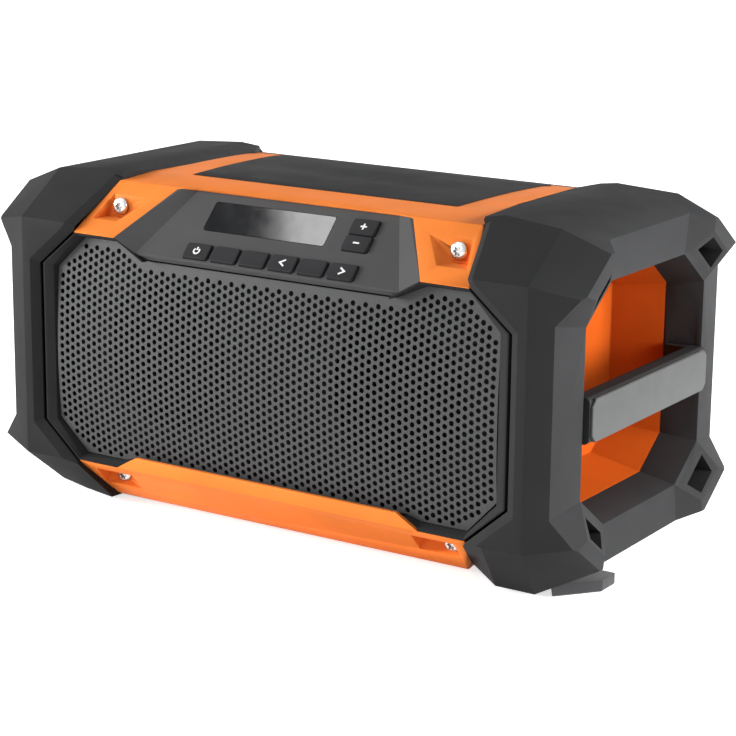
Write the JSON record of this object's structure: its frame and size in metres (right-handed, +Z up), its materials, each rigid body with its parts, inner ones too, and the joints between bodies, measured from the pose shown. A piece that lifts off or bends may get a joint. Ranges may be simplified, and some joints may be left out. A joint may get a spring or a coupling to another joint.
{
  "type": "jobsite radio",
  "caption": "Rugged jobsite radio with faceted end caps, hand holes with grip bars, wide perforated grille, sloped key panel and a rear battery bay.",
  "frame": {"origin": "on the floor, under the middle of the radio", "axes": "+X towards the radio's right-hand end, -Y towards the front with the grille, +Z up"},
  "size_m": [0.378, 0.1994, 0.1911],
  "materials": {
    "charcoal_plastic": "fine-grained matt charcoal ABS",
    "orange_plastic": "satin orange ABS",
    "grille_steel": "perforated steel, grey powder coat",
    "grey_rubber": "light grey soft grip",
    "black_rubber": "black rubber",
    "window_gloss": "glossy smoked acrylic window",
    "display_glass": "dark display module",
    "circuit_board": "green solder mask",
    "screw_steel": "zinc plated steel",
    "black_painted_metal": "black paint",
    "cone_paper": "coated paper cone with rubber surround",
    "magnet_iron": "ferrite magnet with steel plate",
    "heat_sink_aluminium": "extruded, bare",
    "black_plastic": "black moulded plastic",
    "contact_brass": "bare contact metal",
    "key_plastic": "satin charcoal keys"
  },
  "bodies": {
    "casing": {"front_housing": "charcoal_plastic", "rear_housing": "charcoal_plastic", "housing_seal": "black_rubber", "grille_frame": "charcoal_plastic", "speaker_grille": "grille_steel", "control_panel": "charcoal_plastic", "display_lens": "window_gloss", "display_module": "display_glass", "control_board": "circuit_board", "top_trim": "orange_plastic", "bottom_trim": "orange_plastic", "top_inlay": "charcoal_plastic", "trim_screws": "screw_steel", "rear_screws": "screw_steel", "left_end_cap": "charcoal_plastic", "right_end_cap": "charcoal_plastic", "left_hand_recess": "orange_plastic", "right_hand_recess": "orange_plastic", "left_grip_bar": "charcoal_plastic", "right_grip_bar": "charcoal_plastic", "left_grip_pad": "grey_rubber", "right_grip_pad": "grey_rubber", "front_left_foot": "black_rubber", "front_right_foot": "black_rubber", "rear_left_foot": "black_rubber", "rear_right_foot": "black_rubber", "left_speaker_basket": "black_painted_metal", "right_speaker_basket": "black_painted_metal", "left_speaker_cone": "cone_paper", "right_speaker_cone": "cone_paper", "left_speaker_magnet": "magnet_iron", "right_speaker_magnet": "magnet_iron", "main_board": "circuit_board", "heat_sink": "heat_sink_aluminium", "battery_dock": "charcoal_plastic", "terminal_block": "black_plastic", "terminal_blades": "contact_brass", "socket_plate": "black_plastic", "usb_socket": "screw_steel", "aux_socket": "black_plastic", "dc_socket": "black_plastic", "antenna_strip": "contact_brass"},
    "port_cover": {"port_cover": "black_rubber"},
    "button_power": {"button_power": "key_plastic"},
    "button_pairing": {"button_pairing": "key_plastic"},
    "button_source": {"button_source": "key_plastic"},
    "button_previous": {"button_previous": "key_plastic"},
    "button_preset": {"button_preset": "key_plastic"},
    "button_next": {"button_next": "key_plastic"},
    "button_volume_up": {"button_volume_up": "key_plastic"},
    "button_volume_down": {"button_volume_down": "key_plastic"}
  },
  "joints": [
    {"name": "button_power_press", "type": "slide", "parent": "casing", "child": "button_power", "axis": [0, 0.7193, -0.6947], "range_m": [0, 0.0008], "stiffness_N_per_m": 800},
    {"name": "button_pairing_press", "type": "slide", "parent": "casing", "child": "button_pairing", "axis": [0, 0.7193, -0.6947], "range_m": [0, 0.0008], "stiffness_N_per_m": 800},
    {"name": "button_source_press", "type": "slide", "parent": "casing", "child": "button_source", "axis": [0, 0.7193, -0.6947], "range_m": [0, 0.0008], "stiffness_N_per_m": 800},
    {"name": "button_previous_press", "type": "slide", "parent": "casing", "child": "button_previous", "axis": [0, 0.7193, -0.6947], "range_m": [0, 0.0008], "stiffness_N_per_m": 800},
    {"name": "button_preset_press", "type": "slide", "parent": "casing", "child": "button_preset", "axis": [0, 0.7193, -0.6947], "range_m": [0, 0.0008], "stiffness_N_per_m": 800},
    {"name": "button_next_press", "type": "slide", "parent": "casing", "child": "button_next", "axis": [0, 0.7193, -0.6947], "range_m": [0, 0.0008], "stiffness_N_per_m": 800},
    {"name": "button_volume_up_press", "type": "slide", "parent": "casing", "child": "button_volume_up", "axis": [0, 0.7193, -0.6947], "range_m": [0, 0.0008], "stiffness_N_per_m": 800},
    {"name": "button_volume_down_press", "type": "slide", "parent": "casing", "child": "button_volume_down", "axis": [0, 0.7193, -0.6947], "range_m": [0, 0.0008], "stiffness_N_per_m": 800},
    {"name": "port_cover_hinge", "type": "hinge", "parent": "casing", "child": "port_cover", "pos_m": [0.082, 0.0948, 0.0589], "axis": [-1, 0, 0], "range_deg": [0, 100]}
  ]
}
